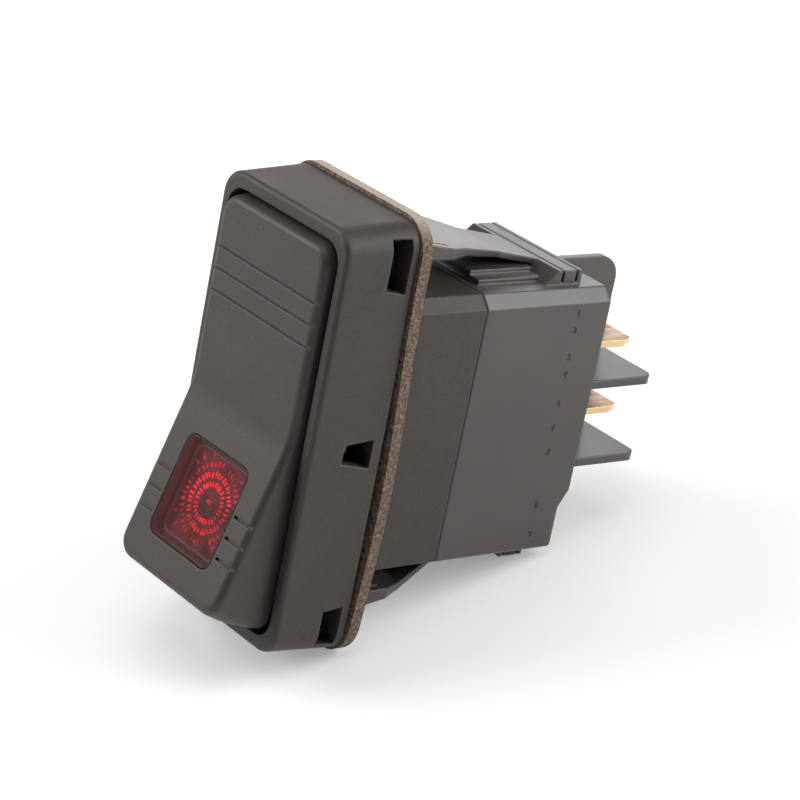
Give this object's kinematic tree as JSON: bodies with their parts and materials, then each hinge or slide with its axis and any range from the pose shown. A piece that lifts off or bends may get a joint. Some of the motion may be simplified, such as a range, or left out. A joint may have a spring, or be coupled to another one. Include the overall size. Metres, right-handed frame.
{
  "type": "power switch",
  "caption": "Snap-in sealed rocker power switch with a lit red lens, a gasketed deep bezel, snap wings and push-on blades.",
  "frame": {"origin": "centre of the gasket's rear face, where the switch seats against the front of its panel", "axes": "+Y points through the panel to the back, so a finger presses from the -Y side; +Z runs along the rocker from the lens end to the plain end; +X is to the right of someone facing the bezel"},
  "size_m": [0.0248, 0.0585, 0.052],
  "materials": {
    "housing_nylon": "satin black moulded nylon",
    "gasket_sheet": "matte fibre and rubber sheet with cut edges",
    "base_nylon": "satin black moulded nylon",
    "carrier_nylon": "plain moulded nylon",
    "seal_rubber": "soft black rubber",
    "rocker_nylon": "fine-grained matte black nylon",
    "red_lens": "clear red polycarbonate",
    "plunger_acetal": "smooth natural acetal",
    "spring_wire": "drawn spring wire",
    "lever_copper": "rolled copper strip",
    "contact_silver": "dull silver alloy",
    "blade_brass": "bright stamped brass",
    "lamp_glass": "clear lamp glass",
    "lead_wire": "tinned wire",
    "resistor_coat": "beige lacquer"
  },
  "bodies": {
    "switch_body": {"front_housing": "housing_nylon", "panel_gasket": "gasket_sheet", "terminal_base": "base_nylon", "lamp_carrier": "carrier_nylon", "chamber_seal": "seal_rubber", "fixed_contact": "contact_silver", "common_terminal": "blade_brass", "load_terminal": "blade_brass", "lamp_feed_terminal": "blade_brass", "lamp_return_terminal": "blade_brass", "indicator_lamp": "lamp_glass", "lamp_feed_lead": "lead_wire", "lamp_joining_lead": "lead_wire", "lamp_return_lead": "lead_wire", "lamp_resistor": "resistor_coat"},
    "rocker": {"rocker": "rocker_nylon", "lens": "red_lens", "plunger_spring": "spring_wire"},
    "plunger": {"plunger": "plunger_acetal"},
    "contact_lever": {"contact_lever": "lever_copper", "moving_contact": "contact_silver"}
  },
  "joints": [
    {"name": "rocker_tilt", "type": "hinge", "parent": "switch_body", "child": "rocker", "pos_m": [0, -0.007, 0], "axis": [1, 0, 0], "range_deg": [0, 17.6]},
    {"name": "plunger_slide", "type": "slide", "parent": "rocker", "child": "plunger", "axis": [0, 0.9882, -0.153], "range_m": [-0.0006, 0], "stiffness_N_per_m": 200, "deforming": ["plunger_spring"]},
    {"name": "lever_rock", "type": "hinge", "parent": "switch_body", "child": "contact_lever", "pos_m": [0.0051, 0.01936, 0], "axis": [1, 0, 0], "range_deg": [-16, 0]}
  ],
  "couplings": [
    {"joint": "lever_rock", "follows": "rocker_tilt", "ratio": -0.90909}
  ]
}
